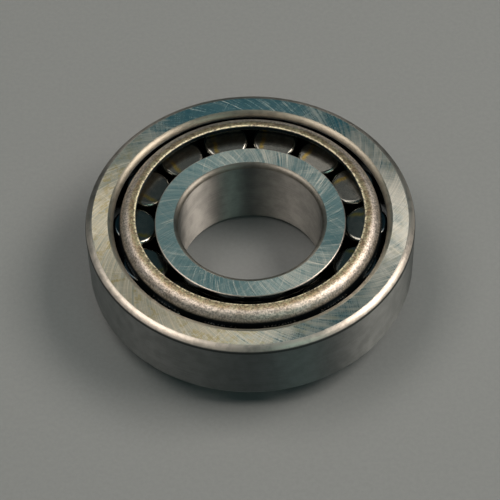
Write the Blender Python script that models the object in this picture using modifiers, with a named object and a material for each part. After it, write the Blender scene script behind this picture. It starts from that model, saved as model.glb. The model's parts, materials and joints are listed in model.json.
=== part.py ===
"""Single-row tapered roller bearing, metric size 35 x 80 x 22.75 mm, standing on its cone's back face.

Every working surface of the bearing is a cone, and all those cones meet at one apex on the axis, so most
points are drawn in a roller's own coordinates: how far they lie from the apex along the roller's axis, and
how far outside that axis.
"""

from math import atan2, cos, pi, radians, sin, tan

import bpy
from mathutils import Vector

MM = 0.001

# Boundary dimensions of the size
BORE_R = 17.5 * MM
OUTER_R = 40.0 * MM
TOTAL_WIDTH = 22.75 * MM
CONE_WIDTH = 21.0 * MM
CUP_WIDTH = 18.0 * MM
CUP_SMALL_R = 32.8845 * MM  # cup raceway carried on to the cup's back face
CUP_ANGLE = radians(11.8597)

# Rollers
ROLLER_COUNT = 14
ROLLER_PHASE = radians(-1.3)  # where the first roller has stopped
ROLLER_HALF_ANGLE = radians(1.95)
ROLLER_LENGTH = 13.3 * MM
ROLLER_TOP_Z = 19.5 * MM  # height of the centre of the small end
ROLLER_CORNER = 0.8 * MM

# Clearances
RUN_GAP = 0.05 * MM  # roller to each raceway and to the large rib
SMALL_RIB_GAP = 0.35 * MM
POCKET_GAP = 0.2 * MM  # roller to the sides of its pocket
POCKET_END_GAP = 0.25 * MM

# Cone, the inner ring
SMALL_RIB_R = 23.2 * MM
LARGE_RIB_R = 27.25 * MM
UNDERCUT_WIDTH = 0.9 * MM
UNDERCUT_DEPTH = 0.3 * MM
CONE_BACK_ROUND = 2.2 * MM
CONE_FRONT_ROUND = 1.15 * MM
SMALL_RIB_ROUND = 0.25 * MM
LARGE_RIB_ROUND = 0.8 * MM

# Cup, the outer ring
CUP_BACK_ROUND = 1.65 * MM
CUP_FRONT_ROUND = 1.5 * MM
CUP_INNER_ROUND = 1.3 * MM
CUP_LIP_ROUND = 0.5 * MM

# Cage, pressed from sheet; its bend and shoulder are given at the middle of the sheet
CAGE_SHEET = 1.5 * MM
CAGE_ANGLE = radians(11.0)
CAGE_LOW_Z = 2.8 * MM
CAGE_TOP_Z = 24.2 * MM
CAGE_LIP_R = 27.7 * MM
CAGE_BEND_R = 2.6 * MM
CAGE_SHOULDER_R = 31.0 * MM

RING_STEPS = 84
ROLLER_STEPS = 24
CORNER_STEPS = 2
BEND_STEPS = 6
MERGE = 0.001 * MM

TILT = CUP_ANGLE - ROLLER_HALF_ANGLE
APEX_Z = TOTAL_WIDTH + CUP_SMALL_R / tan(CUP_ANGLE)
REACH_SMALL = (APEX_Z - ROLLER_TOP_Z) / cos(TILT)
REACH_LARGE = REACH_SMALL + ROLLER_LENGTH


def at(reach, offset):
    """(radius, height) of the point that far from the apex along a roller's axis, and that far outside it."""
    return Vector((
        reach * sin(TILT) + offset * cos(TILT),
        APEX_Z - reach * cos(TILT) + offset * sin(TILT),
    ))


def at_radius(reach, radius):
    """The point at that radius on the plane that crosses a roller's axis at that reach."""
    return at(reach, (radius - reach * sin(TILT)) / cos(TILT))


def roller_radius(reach):
    return reach * tan(ROLLER_HALF_ANGLE)


def cone_side(reach, depth):
    """A point on the cone's raceway line, or that deep below it."""
    return at(reach, -roller_radius(reach) - RUN_GAP - depth)


def cup_side(height):
    """The point of the cup's raceway line at a height."""
    return Vector(((APEX_Z - height) * tan(CUP_ANGLE) + RUN_GAP / cos(CUP_ANGLE), height))


def arc(centre, start, sweep, steps):
    """The points of an arc about a centre, from start through an angle; a negative one turns clockwise."""
    arm = start - centre
    first = atan2(arm.y, arm.x)
    angles = [first + sweep * i / steps for i in range(steps + 1)]
    return [centre + arm.length * Vector((cos(angle), sin(angle))) for angle in angles]


def rounded(before, corner, after, radius):
    """The points that round off one corner of an outline."""
    one = (before - corner).normalized()
    two = (after - corner).normalized()
    half = one.angle(two) / 2
    centre = corner + (one + two).normalized() * radius / sin(half)
    turn = pi - 2 * half
    if one.x * two.y - one.y * two.x > 0:
        turn = -turn
    return arc(centre, corner + one * radius / tan(half), turn, CORNER_STEPS)


def outline(corners):
    """The points of a closed outline, from its corners and the radius that rounds each of them."""
    points = []
    for i, (corner, radius) in enumerate(corners):
        before = corners[i - 1][0]
        after = corners[(i + 1) % len(corners)][0]
        points += rounded(before, corner, after, radius) if radius else [corner]
    return points


def steel(name, colour, roughness):
    material = bpy.data.materials.new(name)
    material.use_nodes = True
    shader = material.node_tree.nodes["Principled BSDF"]
    shader.inputs["Base Color"].default_value = (*colour, 1)
    shader.inputs["Metallic"].default_value = 1.0
    shader.inputs["Roughness"].default_value = roughness
    return material


def profile_mesh(name, points, closed):
    """A mesh that holds only a profile's edges, in the XZ plane."""
    count = len(points)
    edges = [(i, (i + 1) % count) for i in range(count if closed else count - 1)]
    mesh = bpy.data.meshes.new(name)
    mesh.from_pydata([(p.x, 0, p.y) for p in points], edges, [])
    return mesh


def turned(name, mesh, steps, collection):
    """An object that turns a profile once round its own Z axis."""
    obj = bpy.data.objects.new(name, mesh)
    collection.objects.link(obj)
    screw = obj.modifiers.new("Turn", "SCREW")
    screw.angle = 2 * pi
    screw.steps = steps
    screw.render_steps = steps
    screw.use_merge_vertices = True
    screw.merge_threshold = MERGE
    screw.use_smooth_shade = True
    return obj


def smooth_normals(obj):
    """Shades flat faces flat and round ones round; it comes after every modifier that shapes the piece."""
    obj.modifiers.new("Normals", "WEIGHTED_NORMAL")


def put_at_roller(obj, number):
    """Moves a piece made about its own Z axis to the place of one roller, leaning towards the apex."""
    azimuth = ROLLER_PHASE + 2 * pi * number / ROLLER_COUNT
    middle = at(REACH_SMALL + ROLLER_LENGTH / 2, 0)
    obj.location = (middle.x * cos(azimuth), middle.x * sin(azimuth), middle.y)
    obj.rotation_euler = (0, -TILT, azimuth)


def make_cone(parts):
    """The inner ring: bore, tapered raceway, a small rib in front and the large rib that guides the rollers."""
    small = REACH_SMALL - SMALL_RIB_GAP
    large = REACH_LARGE + RUN_GAP
    corners = [
        (Vector((SMALL_RIB_R, CONE_WIDTH)), SMALL_RIB_ROUND),
        (at_radius(small, SMALL_RIB_R), 0),
        (cone_side(small, UNDERCUT_DEPTH), 0),
        (cone_side(small + UNDERCUT_WIDTH, UNDERCUT_DEPTH), 0),
        (cone_side(small + UNDERCUT_WIDTH + UNDERCUT_DEPTH, 0), 0),
        (cone_side(large - UNDERCUT_WIDTH - UNDERCUT_DEPTH, 0), 0),
        (cone_side(large - UNDERCUT_WIDTH, UNDERCUT_DEPTH), 0),
        (cone_side(large, UNDERCUT_DEPTH), 0),
        (at_radius(large, LARGE_RIB_R), 0),
        (Vector((LARGE_RIB_R, 0)), LARGE_RIB_ROUND),
        (Vector((BORE_R, 0)), CONE_BACK_ROUND),
        (Vector((BORE_R, CONE_WIDTH)), CONE_FRONT_ROUND),
    ]
    mesh = profile_mesh("cone_profile", outline(corners), closed=True)
    mesh.materials.append(steel("cone_steel", (0.50, 0.53, 0.53), 0.28))
    smooth_normals(turned("cone_inner_ring", mesh, RING_STEPS, parts))


def make_cup(parts):
    """The outer ring: a plain cylinder outside and one tapered raceway inside."""
    front_z = TOTAL_WIDTH - CUP_WIDTH
    corners = [
        (Vector((OUTER_R, TOTAL_WIDTH)), CUP_BACK_ROUND),
        (Vector((OUTER_R, front_z)), CUP_FRONT_ROUND),
        (cup_side(front_z), CUP_LIP_ROUND),
        (cup_side(TOTAL_WIDTH), CUP_INNER_ROUND),
    ]
    mesh = profile_mesh("cup_profile", outline(corners), closed=True)
    mesh.materials.append(steel("cup_steel", (0.52, 0.53, 0.48), 0.30))
    smooth_normals(turned("cup_outer_ring", mesh, RING_STEPS, parts))


def make_rollers(parts):
    """The tapered rollers, small end up, which share one profile."""
    top = ROLLER_LENGTH / 2
    corners = [
        (Vector((0, top)), 0),
        (Vector((roller_radius(REACH_SMALL), top)), ROLLER_CORNER),
        (Vector((roller_radius(REACH_LARGE), -top)), ROLLER_CORNER),
        (Vector((0, -top)), 0),
    ]
    mesh = profile_mesh("roller_profile", outline(corners), closed=False)
    mesh.materials.append(steel("roller_steel", (0.54, 0.55, 0.53), 0.18))
    for number in range(ROLLER_COUNT):
        roller = turned(f"roller_{number + 1:02d}", mesh, ROLLER_STEPS, parts)
        put_at_roller(roller, number)
        smooth_normals(roller)


def cage_profile():
    """The middle of the cage's sheet: a lip turned inwards, a bend and a conical wall."""
    lip_z = CAGE_TOP_Z - CAGE_SHEET / 2
    out = Vector((cos(CAGE_ANGLE), sin(CAGE_ANGLE)))
    centre = Vector((CAGE_SHOULDER_R - CAGE_BEND_R * out.x, lip_z - CAGE_BEND_R))
    bend = arc(centre, centre + Vector((0, CAGE_BEND_R)), CAGE_ANGLE - pi / 2, BEND_STEPS)
    shoulder = bend[-1]
    low_r = shoulder.x + (shoulder.y - CAGE_LOW_Z) * tan(CAGE_ANGLE)
    return [Vector((CAGE_LIP_R, lip_z)), *bend, Vector((low_r, CAGE_LOW_Z))]


def make_pocket_cutters(cutters):
    """Rollers grown by the pocket's clearances."""
    top = ROLLER_LENGTH / 2 + POCKET_END_GAP
    small_r = roller_radius(REACH_SMALL - POCKET_END_GAP) + POCKET_GAP
    large_r = roller_radius(REACH_LARGE + POCKET_END_GAP) + POCKET_GAP
    points = [Vector((0, top)), Vector((small_r, top)), Vector((large_r, -top)), Vector((0, -top))]
    mesh = profile_mesh("pocket_profile", points, closed=False)
    for number in range(ROLLER_COUNT):
        cutter = turned(f"pocket_cutter_{number + 1:02d}", mesh, ROLLER_STEPS, cutters)
        put_at_roller(cutter, number)
        cutter.hide_render = True
        cutter.display_type = "WIRE"


def make_cage(parts, cutters):
    """The pressed cage: one bent sheet with a pocket for each roller."""
    mesh = profile_mesh("cage_profile", cage_profile(), closed=False)
    mesh.materials.append(steel("cage_steel", (0.46, 0.43, 0.36), 0.42))
    cage = turned("roller_cage", mesh, RING_STEPS, parts)
    sheet = cage.modifiers.new("Sheet", "SOLIDIFY")
    sheet.thickness = CAGE_SHEET
    sheet.offset = 0
    sheet.use_even_offset = True
    make_pocket_cutters(cutters)
    pockets = cage.modifiers.new("Pockets", "BOOLEAN")
    pockets.operation = "DIFFERENCE"
    pockets.solver = "EXACT"
    pockets.operand_type = "COLLECTION"
    pockets.collection = cutters
    smooth_normals(cage)


def new_collection(name):
    collection = bpy.data.collections.new(name)
    bpy.context.scene.collection.children.link(collection)
    return collection


def main():
    for obj in list(bpy.data.objects):
        bpy.data.objects.remove(obj)
    parts = new_collection("tapered_roller_bearing")
    cutters = new_collection("cutters")
    make_cone(parts)
    make_cup(parts)
    make_rollers(parts)
    make_cage(parts, cutters)


main()
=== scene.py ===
"""Looks of the tapered roller bearing: turned and pressed pieces, steels, floor, lights and camera.

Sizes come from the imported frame. What a box can't tell, such as a corner's rounding, is a named value.
Every working surface is a cone about one apex on the axis, so most points are drawn in a roller's own
coordinates: how far they lie from the apex along the roller's axis, and how far outside that axis.
"""

import json
from math import atan2, cos, hypot, pi, radians, sin, tan
from typing import NamedTuple

import bpy
from mathutils import Matrix, Vector

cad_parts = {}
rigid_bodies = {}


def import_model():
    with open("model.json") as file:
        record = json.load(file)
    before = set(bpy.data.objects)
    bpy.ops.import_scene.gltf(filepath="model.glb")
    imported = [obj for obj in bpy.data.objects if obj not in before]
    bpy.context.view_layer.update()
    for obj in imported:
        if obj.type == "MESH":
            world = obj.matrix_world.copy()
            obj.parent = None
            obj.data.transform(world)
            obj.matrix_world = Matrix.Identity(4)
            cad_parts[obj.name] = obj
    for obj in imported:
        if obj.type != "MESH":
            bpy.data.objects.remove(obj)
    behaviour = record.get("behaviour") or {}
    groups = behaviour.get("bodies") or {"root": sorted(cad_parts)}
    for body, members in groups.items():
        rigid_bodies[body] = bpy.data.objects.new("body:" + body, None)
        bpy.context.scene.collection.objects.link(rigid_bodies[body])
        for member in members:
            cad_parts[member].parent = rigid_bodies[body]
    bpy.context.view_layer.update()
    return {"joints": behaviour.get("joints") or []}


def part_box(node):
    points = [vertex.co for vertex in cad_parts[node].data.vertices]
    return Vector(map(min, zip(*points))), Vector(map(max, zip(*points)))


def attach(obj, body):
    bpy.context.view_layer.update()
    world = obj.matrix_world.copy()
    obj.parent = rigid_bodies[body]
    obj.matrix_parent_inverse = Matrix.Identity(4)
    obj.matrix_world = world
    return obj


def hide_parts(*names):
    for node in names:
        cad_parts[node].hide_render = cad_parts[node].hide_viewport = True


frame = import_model()

MM = 0.001

# What the frame says
CONE_LOW, CONE_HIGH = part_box("cone_inner_ring")
CUP_LOW, CUP_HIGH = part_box("cup_outer_ring")
CAGE_LOW, CAGE_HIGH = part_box("roller_cage")
ROLLER_JOINTS = {j["child"]: j for j in frame["joints"] if j["parent"] == "cage"}
FIRST_CENTRE = Vector(ROLLER_JOINTS["roller_01"]["pos_m"])
FIRST_AXIS = Vector(ROLLER_JOINTS["roller_01"]["axis"])
TILT = atan2(hypot(FIRST_AXIS.x, FIRST_AXIS.y), FIRST_AXIS.z)
PITCH_R = hypot(FIRST_CENTRE.x, FIRST_CENTRE.y)
APEX_Z = FIRST_CENTRE.z + PITCH_R / tan(TILT)

# Rollers
ROLLER_HALF_ANGLE = radians(1.95)
ROLLER_LENGTH = 13.3 * MM
ROLLER_CORNER = 0.85 * MM
REACH_SMALL = PITCH_R / sin(TILT) - ROLLER_LENGTH / 2
REACH_LARGE = REACH_SMALL + ROLLER_LENGTH

# Clearances
RUN_GAP = 0.05 * MM
SMALL_RIB_GAP = 0.35 * MM
POCKET_GAP = 0.2 * MM
POCKET_END_GAP = 0.25 * MM

# Cone
BORE_R = 17.5 * MM
SMALL_RIB_R = 23.2 * MM
UNDERCUT_WIDTH = 0.9 * MM
UNDERCUT_DEPTH = 0.3 * MM
CONE_BACK_ROUND = 2.2 * MM
CONE_FRONT_ROUND = 1.15 * MM
SMALL_RIB_ROUND = 0.25 * MM
LARGE_RIB_ROUND = 0.8 * MM

# Cup
CUP_BACK_ROUND = 1.65 * MM
CUP_FRONT_ROUND = 1.5 * MM
CUP_INNER_ROUND = 1.3 * MM
CUP_LIP_ROUND = 0.5 * MM

# Cage; its bend and shoulder are given at the middle of the sheet
CAGE_SHEET = 1.5 * MM
CAGE_ANGLE = radians(11.0)
CAGE_LIP_R = 27.7 * MM
CAGE_BEND_R = 2.6 * MM
CAGE_SHOULDER_R = 31.0 * MM
CAGE_EDGE_ROUND = 0.3 * MM

# What tells the polygons of a ring apart: the slant that a plain side may have, the slant that a flat face
# must have, and the least area of a raceway's polygons
SIDE_SLANT = 0.05
FACE_SLANT = 0.999
RACEWAY_AREA = 2 * MM * MM

# Edges round a whole turn, a rounded corner and the cage's bend
RING_STEPS = 280
CAGE_STEPS = 252
ROLLER_STEPS = 72
CORNER_STEPS = 8
BEND_STEPS = 14

# Edges of the cage that turn by more than this stay sharp
CAGE_CREASE = radians(40)


# ---- Shapes ----


def at(reach, offset):
    """(radius, height) of the point that far from the apex on a roller's axis, and that far outside it."""
    return Vector((
        reach * sin(TILT) + offset * cos(TILT),
        APEX_Z - reach * cos(TILT) + offset * sin(TILT),
    ))


def at_radius(reach, radius):
    """The point at that radius on the plane that crosses a roller's axis at that reach."""
    return at(reach, (radius - reach * sin(TILT)) / cos(TILT))


def roller_radius(reach):
    """A roller's radius that far from the apex."""
    return reach * tan(ROLLER_HALF_ANGLE)


def cone_side(reach, depth):
    """A point on the cone's raceway line, or that deep below it."""
    return at(reach, -roller_radius(reach) - RUN_GAP - depth)


def cup_side(height):
    """The point of the cup's raceway line at a height."""
    angle = TILT + ROLLER_HALF_ANGLE
    return Vector(((APEX_Z - height) * tan(angle) + RUN_GAP / cos(angle), height))


def arc(centre, start, sweep, steps):
    """The points of an arc about a centre, from start through a sweep, which is negative clockwise."""
    arm = start - centre
    first = atan2(arm.y, arm.x)
    angles = [first + sweep * i / steps for i in range(steps + 1)]
    return [centre + arm.length * Vector((cos(angle), sin(angle))) for angle in angles]


def rounded(before, corner, after, radius):
    """The points that round off one corner of an outline."""
    one = (before - corner).normalized()
    two = (after - corner).normalized()
    half = one.angle(two) / 2
    centre = corner + (one + two).normalized() * radius / sin(half)
    turn = pi - 2 * half
    if one.x * two.y - one.y * two.x > 0:
        turn = -turn
    return arc(centre, corner + one * radius / tan(half), turn, CORNER_STEPS)


def outline(corners):
    """The points of a closed outline, from its corners and the radius that rounds each of them."""
    points = []
    for i, (corner, radius) in enumerate(corners):
        before = corners[i - 1][0]
        after = corners[(i + 1) % len(corners)][0]
        points += rounded(before, corner, after, radius) if radius else [corner]
    return points


def finished_mesh(obj):
    """An object's mesh with its modifiers applied."""
    depsgraph = bpy.context.evaluated_depsgraph_get()
    return bpy.data.meshes.new_from_object(obj.evaluated_get(depsgraph))


def turned_mesh(name, points, steps, closed):
    """A mesh that turns a profile once round Z. A profile that isn't closed starts and ends on the axis."""
    mesh = bpy.data.meshes.new(name)
    count = len(points)
    edges = [(i, (i + 1) % count) for i in range(count if closed else count - 1)]
    mesh.from_pydata([(p.x, 0, p.y) for p in points], edges, [])
    profile = bpy.data.objects.new(name, mesh)
    bpy.context.scene.collection.objects.link(profile)
    screw = profile.modifiers.new("Turn", "SCREW")
    screw.angle = 2 * pi
    screw.steps = steps
    screw.render_steps = steps
    screw.use_merge_vertices = True
    screw.merge_threshold = 0.001 * MM
    screw.use_smooth_shade = True
    solid = finished_mesh(profile)
    solid.name = name
    bpy.data.objects.remove(profile)
    return solid


def new_object(name, mesh):
    """Puts a mesh in the scene as an object."""
    obj = bpy.data.objects.new(name, mesh)
    bpy.context.scene.collection.objects.link(obj)
    return obj


def ring_part(polygon, race_outside):
    """The index of a polygon's material on its ring: 0 plain side, 1 upper corner, 2 flat face, 3 raceway.

    Corners that look down are in the dark and take the plain side's.
    """
    slant = abs(polygon.normal.z)
    if slant > FACE_SLANT:
        return 2
    if slant > SIDE_SLANT and polygon.area < RACEWAY_AREA:
        return int(polygon.normal.z > 0)
    outward = polygon.center.xy.dot(polygon.normal.xy) > 0
    return 3 if outward == race_outside else 0


def carry(obj, node, body, slot, *materials):
    """Gives a finished piece its materials and body, and hides the CAD node it takes the place of."""
    obj.data.materials.clear()
    for material in materials:
        obj.data.materials.append(material)
    normals = obj.modifiers.new("Normals", "WEIGHTED_NORMAL")
    normals.weight = 80
    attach(obj, body)
    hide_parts(node)


def make_cone(*steels):
    """The inner ring, its section drawn from the small rib's top corner down the raceway to the bore."""
    small = REACH_SMALL - SMALL_RIB_GAP
    large = REACH_LARGE + RUN_GAP
    corners = [
        (Vector((SMALL_RIB_R, CONE_HIGH.z)), SMALL_RIB_ROUND),
        (at_radius(small, SMALL_RIB_R), 0),
        (cone_side(small, UNDERCUT_DEPTH), 0),
        (cone_side(small + UNDERCUT_WIDTH, UNDERCUT_DEPTH), 0),
        (cone_side(small + UNDERCUT_WIDTH + UNDERCUT_DEPTH, 0), 0),
        (cone_side(large - UNDERCUT_WIDTH - UNDERCUT_DEPTH, 0), 0),
        (cone_side(large - UNDERCUT_WIDTH, UNDERCUT_DEPTH), 0),
        (cone_side(large, UNDERCUT_DEPTH), 0),
        (at_radius(large, CONE_HIGH.x), 0),
        (Vector((CONE_HIGH.x, CONE_LOW.z)), LARGE_RIB_ROUND),
        (Vector((BORE_R, CONE_LOW.z)), CONE_BACK_ROUND),
        (Vector((BORE_R, CONE_HIGH.z)), CONE_FRONT_ROUND),
    ]
    cone = new_object("cone_ring", turned_mesh("cone_ring", outline(corners), RING_STEPS, closed=True))
    carry(cone, "cone_inner_ring", "cone", "cone_steel", *steels)
    for polygon in cone.data.polygons:
        polygon.material_index = ring_part(polygon, race_outside=True)


def make_cup(*steels):
    """The outer ring: plain outside, one tapered raceway inside."""
    corners = [
        (Vector((CUP_HIGH.x, CUP_HIGH.z)), CUP_BACK_ROUND),
        (Vector((CUP_HIGH.x, CUP_LOW.z)), CUP_FRONT_ROUND),
        (cup_side(CUP_LOW.z), CUP_LIP_ROUND),
        (cup_side(CUP_HIGH.z), CUP_INNER_ROUND),
    ]
    cup = new_object("cup_ring", turned_mesh("cup_ring", outline(corners), RING_STEPS, closed=True))
    carry(cup, "cup_outer_ring", "cup", "cup_steel", *steels)
    for polygon in cup.data.polygons:
        polygon.material_index = ring_part(polygon, race_outside=False)


def put_at_roller(obj, node):
    """Moves a piece made about its own Z axis to a roller's place, +X outwards and +Z towards the apex."""
    centre = Vector(ROLLER_JOINTS[node]["pos_m"])
    obj.matrix_world = (
        Matrix.Translation(centre)
        @ Matrix.Rotation(atan2(centre.y, centre.x), 4, "Z")
        @ Matrix.Rotation(-TILT, 4, "Y")
    )


def make_rollers(material):
    """The tapered rollers, their small ends up."""
    top = ROLLER_LENGTH / 2
    corners = [
        (Vector((0, top)), 0),
        (Vector((roller_radius(REACH_SMALL), top)), ROLLER_CORNER),
        (Vector((roller_radius(REACH_LARGE), -top)), ROLLER_CORNER),
        (Vector((0, -top)), 0),
    ]
    mesh = turned_mesh("taper_roller", outline(corners), ROLLER_STEPS, closed=False)
    for node in sorted(ROLLER_JOINTS):
        roller = new_object("taper_" + node, mesh.copy())
        put_at_roller(roller, node)
        carry(roller, node, node, "roller_steel", material)


def cage_outline():
    """The section of the cage's sheet: a lip turned inwards, a bend and a conical wall."""
    half = CAGE_SHEET / 2
    out = Vector((cos(CAGE_ANGLE), sin(CAGE_ANGLE)))
    down = Vector((sin(CAGE_ANGLE), -cos(CAGE_ANGLE)))
    centre = Vector((CAGE_SHOULDER_R - CAGE_BEND_R * out.x, CAGE_HIGH.z - half - CAGE_BEND_R))
    shoulder = centre + CAGE_BEND_R * out
    end = shoulder + down * (shoulder.y - half * out.y - CAGE_LOW.z) / cos(CAGE_ANGLE)
    lip = Vector((CAGE_LIP_R, CAGE_HIGH.z - half))
    up = Vector((0, half))
    sweep = CAGE_ANGLE - pi / 2
    outside = arc(centre, centre + Vector((0, CAGE_BEND_R + half)), sweep, BEND_STEPS)
    inside = arc(centre, centre + Vector((0, CAGE_BEND_R - half)), sweep, BEND_STEPS)
    return [
        *rounded(lip - up, lip + up, outside[0], CAGE_EDGE_ROUND),
        *outside,
        *rounded(outside[-1], end + half * out, end - half * out, CAGE_EDGE_ROUND),
        *rounded(end + half * out, end - half * out, inside[-1], CAGE_EDGE_ROUND),
        *reversed(inside),
        *rounded(inside[0], lip - up, lip + up, CAGE_EDGE_ROUND),
    ]


def make_cage(material):
    """The pressed cage, with a pocket cut for each roller."""
    top = ROLLER_LENGTH / 2 + POCKET_END_GAP
    small_r = roller_radius(REACH_SMALL - POCKET_END_GAP) + POCKET_GAP
    large_r = roller_radius(REACH_LARGE + POCKET_END_GAP) + POCKET_GAP
    points = [Vector((0, top)), Vector((small_r, top)), Vector((large_r, -top)), Vector((0, -top))]
    cutter_mesh = turned_mesh("pocket", points, ROLLER_STEPS, closed=False)
    cutters = bpy.data.collections.new("pockets")
    for node in sorted(ROLLER_JOINTS):
        cutter = bpy.data.objects.new("pocket_" + node, cutter_mesh)
        cutters.objects.link(cutter)
        put_at_roller(cutter, node)
    blank = new_object("cage_blank", turned_mesh("cage_blank", cage_outline(), CAGE_STEPS, closed=True))
    pockets = blank.modifiers.new("Pockets", "BOOLEAN")
    pockets.operation = "DIFFERENCE"
    pockets.solver = "EXACT"
    pockets.operand_type = "COLLECTION"
    pockets.collection = cutters
    mesh = finished_mesh(blank)
    for obj in [blank, *cutters.objects]:
        bpy.data.objects.remove(obj)
    bpy.data.collections.remove(cutters)
    mesh.set_sharp_from_angle(angle=CAGE_CREASE)
    cage = new_object("pressed_cage", mesh)
    carry(cage, "roller_cage", "cage", "cage_steel", material)


# ---- Materials ----

# Radii halfway across the two flat ring faces, and the width of the lines that turning leaves
CONE_FACE_MIDDLE = 20.4 * MM
CUP_FACE_MIDDLE = 36.5 * MM
TURNING_LINE = 0.09 * MM

# A roller's small end: the streak's middle, how far from there it is full and where it ends, and where the
# painted shade of the outer side, under the cage, starts and is full
STREAK_Y = 2.9 * MM
STREAK_FULL = 0.1 * MM
STREAK_END = 0.9 * MM
SHADE_START_X = 3.0 * MM
SHADE_FULL_X = 4.4 * MM

# How far the painted highlight on the cage's lip edge is full, and where it ends
LIP_EDGE_FULL = 0.3 * MM
LIP_EDGE_END = 0.55 * MM

# Painted shade: the raceways are painted near black
RACE_PAINTED_SHADE = (0.08, 0.11, 0.13, 1)
SCRATCH_STEEL = (0.86, 0.87, 0.80, 1)
# Painted shade: near black for the rollers' sides, their outer small ends and the cage's steep sheet
PAINTED_SHADE_STEEL = (0.035, 0.05, 0.06, 1)
OIL_STREAK = (0.34, 0.25, 0.06, 1)


class FaceLook(NamedTuple):
    """A flat ring face: how it was ground, its colours, and what use has done to it."""

    middle: float  # radius at which the lines have the directions below
    turn: float  # degrees from the way round to the main lines
    cross: float  # tangent of the angle between the radius and the lines that cross them
    width: float  # how wide the lines are, against the cup's
    # The teal in the bare and ground colours is partly a painted reflection of teal surroundings
    bare: tuple  # smooth steel between the lines
    ground: tuple  # steel under the lines
    stain: tuple  # old oil
    uneven: float  # 1 if the wear differs round the ring, 0 if it is even
    gloss: float  # roughness of the bare steel
    matt: float  # what the lines add to it
    lay: float  # how far the gloss stretches across the lines
    edge: float  # how softly the lines end
    marks: float  # how clear the scratches are where the face is worn
    scuffs: list  # azimuth of each scuffed place, and the cosine of half the angle it fills


class Graph:
    """Adds nodes to a material. An input is a number, a colour or another node's output."""

    def __init__(self, name):
        self.material = bpy.data.materials.new(name)
        self.material.use_nodes = True
        self.tree = self.material.node_tree
        self.shader = self.tree.nodes["Principled BSDF"]

    def put(self, socket, value):
        if isinstance(value, bpy.types.NodeSocket):
            self.tree.links.new(value, socket)
        else:
            socket.default_value = value

    def node(self, kind, inputs=(), output=0, **settings):
        node = self.tree.nodes.new(kind)
        for key, value in settings.items():
            setattr(node, key, value)
        for key, value in dict(inputs).items():
            self.put(node.inputs[key], value)
        return node.outputs[output]

    def math(self, operation, one, two=0.0, three=0.0):
        inputs = {0: one, 1: two, 2: three}
        return self.node("ShaderNodeMath", inputs, operation=operation)

    def total(self, *parts):
        """The sum of several values, each times its weight."""
        result = 0.0
        for value, weight in parts:
            result = self.math("MULTIPLY_ADD", value, weight, result)
        return result

    def ramp(self, value, low, high):
        """0 below low and 1 above high, or the other way round if low is the larger, with a soft step."""
        inputs = {"Value": value, "From Min": low, "From Max": high}
        return self.node("ShaderNodeMapRange", inputs, interpolation_type="SMOOTHSTEP")

    def mix(self, amount, one, two):
        """A colour between two colours."""
        inputs = {"Factor": amount, 6: one, 7: two}
        return self.node("ShaderNodeMix", inputs, output=2, data_type="RGBA")

    def soil(self, colour, where, share, dirt):
        """The colour with a share of the dirt's where a value is 1."""
        return self.mix(self.math("MULTIPLY", where, share), colour, dirt)

    def noise(self, vector, scale=1.0, detail=3.0, roughness=0.6):
        inputs = {"Vector": vector, "Scale": scale, "Detail": detail, "Roughness": roughness}
        return self.node("ShaderNodeTexNoise", inputs)

    def vector(self, x, y, z):
        return self.node("ShaderNodeCombineXYZ", {0: x, 1: y, 2: z})

    def split(self, vector):
        """The x, y and z of a vector."""
        node = self.tree.nodes.new("ShaderNodeSeparateXYZ")
        self.put(node.inputs[0], vector)
        return node.outputs

    def place(self):
        """The point on the piece: its vector, radius, height and angle round the axis."""
        point = self.node("ShaderNodeTexCoord", output=3)
        x, y, z = self.split(point)
        square = self.math("ADD", self.math("POWER", x, 2.0), self.math("POWER", y, 2.0))
        return point, self.math("SQRT", square), z, self.math("ARCTAN2", y, x)

    def slant(self):
        """How far a surface faces along the piece's axis: 0 on a cylinder, 1 on a flat face."""
        normal = self.node("ShaderNodeTexCoord", output=1)
        return self.math("ABSOLUTE", self.split(normal)[2])

    def towards(self, angle, azimuth):
        """1 on the side of the piece at an azimuth in degrees, down to -1 on the far side."""
        return self.math("COSINE", self.math("SUBTRACT", angle, radians(azimuth)))

    def crossing_lines(self, radius, angle, middle, slope, width, length):
        """Lines across a flat ring. Slope is the tangent of their angle to the radius at the middle."""
        turned = self.math("MULTIPLY_ADD", radius, slope / middle, angle)
        round_x = self.math("MULTIPLY", self.math("COSINE", turned), middle / width)
        round_y = self.math("MULTIPLY", self.math("SINE", turned), middle / width)
        return self.noise(self.vector(round_x, round_y, self.math("MULTIPLY", radius, 1 / length)))

    def round_lines(self, radius, height, angle, wander):
        """Turning lines that run round the axis and wander a few widths across it."""
        across = self.math("DIVIDE", radius, TURNING_LINE)
        along = self.math("DIVIDE", height, TURNING_LINE)
        x = self.math("ADD", across, self.math("MULTIPLY", self.math("COSINE", angle), wander))
        y = self.math("ADD", along, self.math("MULTIPLY", self.math("SINE", angle), wander))
        return self.noise(self.vector(x, y, 0.0))

    def lay(self, amount, turn):
        """Stretches the gloss across the grinding lines, which lie that many degrees from the way round."""
        self.shader.inputs["Anisotropic"].default_value = amount
        self.shader.inputs["Anisotropic Rotation"].default_value = 0.25 + turn / 360
        tangent = self.node("ShaderNodeTangent", direction_type="RADIAL", axis="Z")
        self.put(self.shader.inputs["Tangent"], tangent)

    def finish(self, colour, roughness, height, depth, metallic=1.0):
        """Fills the shader, with a bump that deep, and gives the material."""
        self.put(self.shader.inputs["Base Color"], colour)
        self.put(self.shader.inputs["Roughness"], roughness)
        self.put(self.shader.inputs["Metallic"], metallic)
        bump = self.node("ShaderNodeBump", {"Height": height, "Distance": depth, "Strength": 1.0})
        self.put(self.shader.inputs["Normal"], bump)
        return self.material


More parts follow.
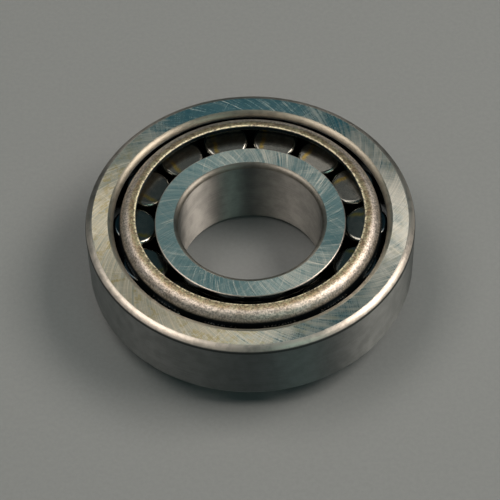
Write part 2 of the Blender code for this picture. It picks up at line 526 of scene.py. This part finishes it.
def turned_side(name, colour, rough):
    """Steel ground while it turned: fine lines run round the axis, with a film of oil in patches."""
    g = Graph(name)
    point, radius, height, angle = g.place()
    lines = g.round_lines(radius, height, angle, 2.0)
    film = g.noise(point, 300.0, 4.0)
    shade = g.total((film, 0.5), (lines, 0.5))
    colour = g.soil(colour, g.ramp(shade, 0.6, 0.4), 0.3, (0.05, 0.06, 0.06, 1))
    roughness = g.math("MULTIPLY_ADD", film, 0.08, rough - 0.04)
    g.lay(1.0, 0.0)
    return g.finish(colour, roughness, lines, 0.0015 * MM)


def rounded_corner(name, middle, inner, outer, painted_dark):
    """The smooth rounded corners on both sides of a ring's middle radius, a little dulled in patches.

    The outer corner takes a painted dark colour, a painted dark reflection, where it nears the ring's side,
    and most of it round the back.
    """
    g = Graph(name)
    point, radius, _, angle = g.place()
    film = g.noise(point, 500.0, 4.0)
    nicks = g.noise(point, 1500.0, 2.0)
    # Painted dark reflection: the outer corner darkens towards its side and round the back
    back = g.ramp(g.towards(angle, 98), -0.2, 0.4)
    painted_dark_share = g.math("MAXIMUM", g.ramp(g.slant(), 0.56, 0.34), g.math("MULTIPLY", back, 0.75))
    outer = g.mix(painted_dark_share, outer, painted_dark)
    colour = g.mix(g.ramp(radius, middle - 1 * MM, middle + 1 * MM), inner, outer)
    colour = g.soil(colour, g.ramp(film, 0.55, 0.35), 0.25, (0.08, 0.08, 0.06, 1))
    roughness = g.math("MULTIPLY_ADD", film, 0.12, 0.37)
    g.lay(0.85, 0.0)
    return g.finish(colour, roughness, nicks, 0.002 * MM)


def raceway(name):
    """The side of a ring that the rollers run on: fine steel, painted dark as the shade between the rings
    and the cage.
    """
    g = Graph(name)
    point, radius, height, angle = g.place()
    film = g.noise(point, 260.0, 4.0)
    lines = g.round_lines(radius, height, angle, 2.0)
    # The near black is painted shade; the film patches darken it further at random
    colour = g.soil(RACE_PAINTED_SHADE, g.ramp(film, 0.3, 0.7), 0.4, (0.02, 0.02, 0.02, 1))
    roughness = g.math("MULTIPLY_ADD", film, 0.15, 0.15)
    return g.finish(colour, roughness, lines, 0.0005 * MM)


def worn_share(g, angle, patches, broad, uneven):
    """1 where a face is worn and less where it isn't: an uneven one has a clean zone at the back, where its
    teal bare steel, partly a painted reflection, shows.
    """
    once = g.towards(angle, 50)
    twice = g.math("COSINE", g.math("MULTIPLY_ADD", angle, 2.0, -radians(212)))
    fresh = g.total((patches, 1.12), (broad, 1.68), (once, 0.45 * uneven), (twice, 0.45 * uneven))
    return g.ramp(fresh, 2.12, 1.12)


def scratch_share(g, angle, one, two, worn, look):
    """Bright scratches along both sets of lines, closer together in the scuffed places."""
    scuffed = 0.0
    for azimuth, reach in look.scuffs:
        scuffed = g.math("MAXIMUM", scuffed, g.ramp(g.towards(angle, azimuth), reach, 1.0))
    along = g.ramp(g.math("MULTIPLY_ADD", scuffed, 0.09, one), 0.57, 0.66)
    across = g.ramp(g.math("MULTIPLY_ADD", scuffed, 0.07, two), 0.60, 0.69)
    clearness = g.math("MULTIPLY_ADD", worn, look.marks, 0.1)
    return g.math("MULTIPLY", g.math("MAXIMUM", along, across), clearness)


def stain_share(g, point, patches, left):
    """Smears of old oil, most of them on the left."""
    smears = g.noise(point, 420.0, 4.0, 0.7)
    smeared = g.math("MULTIPLY", g.ramp(smears, 0.46, 0.60), g.ramp(patches, 0.42, 0.54))
    return g.math("MULTIPLY", smeared, g.math("MULTIPLY_ADD", left, 0.7, 0.3))


def ground_face(name, look):
    """A flat ring face: crossing grinding lines over smoother bare steel, scratched and stained by use.

    Where an uneven face is worn, the lines always show a little and a dull yellow film dims them.
    """
    g = Graph(name)
    point, radius, _, angle = g.place()

    def lines_at(slope, width, length):
        return g.crossing_lines(radius, angle, look.middle, slope, width * look.width, length)

    slope = 1 / tan(radians(look.turn))
    broad = lines_at(slope, 0.9 * MM, 9 * MM)
    one = lines_at(slope, 0.26 * MM, 12 * MM)
    two = lines_at(look.cross, 0.24 * MM, 16 * MM)
    fine = lines_at(slope, 0.12 * MM, 6 * MM)
    lines = g.total((two, 0.18), (one, 0.42), (broad, 0.40))

    patches = g.noise(point, 160.0, 4.0)
    left = g.ramp(g.towards(angle, 215), -0.5, 0.8)
    worn = worn_share(g, angle, patches, broad, look.uneven)
    scratches = scratch_share(g, angle, one, two, worn, look)
    stained = stain_share(g, point, patches, left)
    film = g.math("MULTIPLY", worn, 0.6 * look.uneven)

    shown = g.math("MULTIPLY_ADD", g.math("SUBTRACT", worn, 0.5), 0.2 * look.uneven, lines)
    cover = g.ramp(shown, 0.51 - look.edge, 0.51 + look.edge)
    cover = g.math("MAXIMUM", cover, g.math("MULTIPLY", worn, 0.62 * look.uneven))

    filmed = g.soil(look.ground, g.math("MULTIPLY", left, film), 0.65, look.stain)
    colour = g.mix(cover, look.bare, filmed)
    colour = g.soil(colour, g.math("MULTIPLY", stained, film), 1.3, look.stain)
    colour = g.mix(scratches, colour, SCRATCH_STEEL)
    colour = g.soil(colour, g.ramp(fine, 0.66, 0.34), 0.34, (0.08, 0.11, 0.12, 1))

    rough = g.math("MAXIMUM", g.math("MULTIPLY", cover, look.matt), g.math("MULTIPLY", scratches, 0.45))
    rough = g.math("ADD", rough, g.math("MULTIPLY_ADD", fine, 0.10, look.gloss - 0.05))
    metallic = g.math("MULTIPLY_ADD", film, -0.4, 1.0) if look.uneven else 1.0
    g.lay(look.lay, look.turn)
    return g.finish(colour, rough, g.math("ADD", lines, fine), 0.003 * MM, metallic)


def roller_steel():
    """Polished steel with a brown streak of old oil on its small end; painted shade darkens its side and
    the outer part of its small end, and its rounded corners are painted paler as a highlight.
    """
    g = Graph("roller_steel_fine")
    point, radius, height, angle = g.place()
    x, y, _ = g.split(point)
    slant = g.slant()
    film = g.noise(point, 350.0, 4.0)
    lines = g.round_lines(radius, height, angle, 3.0)
    wave = g.math("MULTIPLY", g.math("SUBTRACT", g.noise(point, 420.0, 3.0), 0.5), 3.0 * MM)
    off = g.math("ABSOLUTE", g.math("SUBTRACT", g.math("ADD", y, wave), STREAK_Y))
    streak = g.math("MULTIPLY", g.ramp(off, STREAK_END, STREAK_FULL), g.ramp(film, 0.32, 0.55))
    colour = g.mix(film, (0.13, 0.14, 0.135, 1), (0.20, 0.20, 0.185, 1))
    colour = g.soil(colour, streak, 0.9, OIL_STREAK)
    # Painted highlight: the rounded corners take a paler colour than the end
    corner = g.math("COMPARE", slant, 0.5, 0.42)
    colour = g.mix(corner, colour, (0.55, 0.55, 0.50, 1))
    # Painted shade: the side and the outer part of the small end, under the cage, are painted near black
    flank = g.math("MAXIMUM", g.ramp(slant, 0.12, 0.06), g.ramp(x, SHADE_START_X, SHADE_FULL_X))
    colour = g.mix(flank, colour, PAINTED_SHADE_STEEL)
    rough = g.math("MULTIPLY_ADD", film, 0.18, 0.13)
    return g.finish(colour, rough, lines, 0.001 * MM)


def cage_steel():
    """Sheet steel, tumbled matt: sandy grain and tan tarnish on its lip, a paler bend that is partly a
    painted highlight, a painted highlight along the lip's inner edge, and steep sheet painted dark as
    shade.
    """
    g = Graph("cage_steel_fine")
    point, radius, _, _ = g.place()
    grain = g.noise(point, 2300.0, 2.0, 0.55)
    pits = g.noise(point, 1300.0, 3.0, 0.6)
    blotch = g.noise(point, 320.0, 4.0)
    slant = g.slant()
    level = g.math("MULTIPLY_ADD", g.math("SUBTRACT", blotch, 0.5), 0.06, slant)
    tarnish = g.ramp(level, 0.90, 1.0)
    tan_tint = g.mix(g.ramp(pits, 0.40, 0.60), (0.48, 0.37, 0.25, 1), (0.46, 0.44, 0.29, 1))
    # Tan tarnish on the flat lip; the bend and steeper sheet are paler, partly a painted highlight
    colour = g.mix(tarnish, (0.90, 0.83, 0.76, 1), tan_tint)
    colour = g.soil(colour, g.ramp(blotch, 0.4, 0.7), 0.3, (0.34, 0.24, 0.12, 1))
    dents = g.total((pits, 0.3), (grain, 0.7))
    shade = g.math("MULTIPLY", g.ramp(dents, 0.60, 0.38), g.math("MULTIPLY_ADD", tarnish, 0.12, 0.5))
    colour = g.mix(shade, colour, (0.04, 0.035, 0.025, 1))
    # Painted highlight: a ragged pale line along the lip's inner edge
    edge = g.ramp(radius, CAGE_LIP_R + LIP_EDGE_END, CAGE_LIP_R + LIP_EDGE_FULL)
    rim_highlight = g.math("MULTIPLY", edge, g.ramp(dents, 0.42, 0.56))
    colour = g.mix(rim_highlight, colour, (1.0, 0.95, 0.72, 1))
    # Painted shade: the cage's steep sheet, down in the gap under the cup, is painted near black
    colour = g.mix(g.ramp(slant, 0.25, 0.5), PAINTED_SHADE_STEEL, colour)
    rough = g.math("MULTIPLY_ADD", rim_highlight, 0.2, g.math("MULTIPLY_ADD", grain, 0.25, 0.34))
    return g.finish(colour, rough, dents, 0.13 * MM)


# Teal bare and ground colours: partly a painted reflection
CONE_FACE = FaceLook(
    middle=CONE_FACE_MIDDLE, turn=-65, cross=0.9, width=0.5,
    bare=(0.36, 0.52, 0.53, 1), ground=(0.42, 0.56, 0.55, 1), stain=(0.50, 0.46, 0.30, 1),
    uneven=0.0, gloss=0.25, matt=0.11, lay=0.5, edge=0.42, marks=0.95, scuffs=[(72, 0.5), (-56, 0.75)],
)
CUP_FACE = FaceLook(
    middle=CUP_FACE_MIDDLE, turn=-38, cross=0.6, width=1.0,
    bare=(0.17, 0.30, 0.33, 1), ground=(0.74, 0.73, 0.66, 1), stain=(0.46, 0.39, 0.17, 1),
    uneven=1.0, gloss=0.16, matt=0.40, lay=0.85, edge=0.13, marks=0.45, scuffs=[],
)


# ---- Floor, lights, camera ----

FLOOR_COLOUR = (0.265, 0.29, 0.30, 1)
FLOOR_SPECK = (0.246, 0.27, 0.279, 1)
FLOOR_HALF_SIZE = 3.0

SKY_COLOUR = (0.5, 0.95, 1.1, 1)
SKY_STRENGTH = 0.04
LIGHT_DISTANCE = 1.2
# name, azimuth, elevation, width and height in degrees, radiance, colour
LIGHTS = [
    ("right_box", 7, 52, 34, 24, 7.4, (1.0, 0.88, 0.78)),
    ("left_box", 165, 64, 42, 26, 3.4, (1.0, 0.88, 0.78)),
    ("top_box", 90, 76, 60, 24, 0.36, (1.0, 0.99, 0.92)),
    ("back_box", 90, 50, 18, 14, 0.24, (0.35, 0.90, 1.0)),
    ("front_right_box", -62, 38, 22, 22, 1.0, (0.65, 1.0, 0.88)),
    ("front_left_box", -116, 40, 20, 22, 0.42, (1.0, 0.95, 0.78)),
]

# The camera stands in front, at -Y, and looks down at the target
VIEW_TARGET = Vector((-0.25 * MM, -1.36 * MM, 11 * MM))
VIEW_ELEVATION = radians(51.8)
VIEW_DISTANCE = 488.3 * MM
VIEW_ROLL = radians(-1.63)

# Millimetres, as Blender counts them
LENS = 142.76
SENSOR = 36


def make_floor():
    """A plain floor with a fine grain."""
    mesh = bpy.data.meshes.new("floor")
    size = FLOOR_HALF_SIZE
    corners = [(-size, -size, 0), (size, -size, 0), (size, size, 0), (-size, size, 0)]
    mesh.from_pydata(corners, [], [(0, 1, 2, 3)])
    floor = new_object("floor", mesh)
    g = Graph("floor")
    point = g.node("ShaderNodeTexCoord", output=3)
    speck = g.noise(point, 900.0, 4.0, 0.7)
    shade = g.mix(g.ramp(speck, 0.3, 0.7), FLOOR_SPECK, FLOOR_COLOUR)
    mesh.materials.append(g.finish(shade, 0.75, speck, 0.02 * MM, metallic=0.0))


def direction(azimuth, elevation):
    """A unit vector, its azimuth counted anticlockwise from +X."""
    a, e = radians(azimuth), radians(elevation)
    return Vector((cos(a) * cos(e), sin(a) * cos(e), sin(e)))


def add_light(name, azimuth, elevation, width, height, radiance, colour):
    """A softbox that faces the object and fills that width and height in degrees."""
    light = bpy.data.lights.new(name, "AREA")
    light.shape = "RECTANGLE"
    light.size = 2 * LIGHT_DISTANCE * tan(radians(width / 2))
    light.size_y = 2 * LIGHT_DISTANCE * tan(radians(height / 2))
    light.energy = radiance * light.size * light.size_y * pi
    light.color = colour
    obj = bpy.data.objects.new(name, light)
    bpy.context.scene.collection.objects.link(obj)
    obj.location = direction(azimuth, elevation) * LIGHT_DISTANCE
    obj.rotation_euler = obj.location.to_track_quat("Z", "Y").to_euler()


def make_lights():
    """A dim sky and the softboxes."""
    world = bpy.data.worlds.new("studio")
    bpy.context.scene.world = world
    world.use_nodes = True
    background = world.node_tree.nodes["Background"]
    background.inputs["Color"].default_value = SKY_COLOUR
    background.inputs["Strength"].default_value = SKY_STRENGTH
    for light in LIGHTS:
        add_light(*light)


def make_camera():
    """The camera, with the view transform that the colours were matched in."""
    bpy.context.scene.view_settings.view_transform = "Standard"
    camera = bpy.data.cameras.new("camera")
    camera.sensor_width = SENSOR
    camera.lens = LENS
    camera.clip_start = 0.01
    obj = bpy.data.objects.new("camera", camera)
    bpy.context.scene.collection.objects.link(obj)
    back = Vector((0, -cos(VIEW_ELEVATION), sin(VIEW_ELEVATION)))
    up = Vector((0, sin(VIEW_ELEVATION), cos(VIEW_ELEVATION)))
    turn = Matrix((up.cross(back), up, back)).transposed().to_4x4()
    place = Matrix.Translation(VIEW_TARGET + back * VIEW_DISTANCE)
    obj.matrix_world = place @ turn @ Matrix.Rotation(VIEW_ROLL, 4, "Z")
    bpy.context.scene.camera = obj


make_cone(
    turned_side("cone_side_steel", (0.42, 0.42, 0.40, 1), 0.53),
    rounded_corner("cone_corner_steel", CONE_FACE_MIDDLE, inner=(0.28, 0.27, 0.24, 1),
                   outer=(0.75, 0.70, 0.64, 1), painted_dark=(0.40, 0.38, 0.35, 1)),
    ground_face("cone_face_steel", CONE_FACE),
    raceway("cone_race_steel"),
)
make_cup(
    turned_side("cup_side_steel", (0.23, 0.25, 0.25, 1), 0.43),
    rounded_corner("cup_corner_steel", CUP_FACE_MIDDLE, inner=(0.45, 0.42, 0.35, 1),
                   outer=(0.85, 0.79, 0.71, 1), painted_dark=(0.07, 0.08, 0.08, 1)),
    ground_face("cup_face_steel", CUP_FACE),
    raceway("cup_race_steel"),
)
make_rollers(roller_steel())
make_cage(cage_steel())
make_floor()
make_lights()
make_camera()
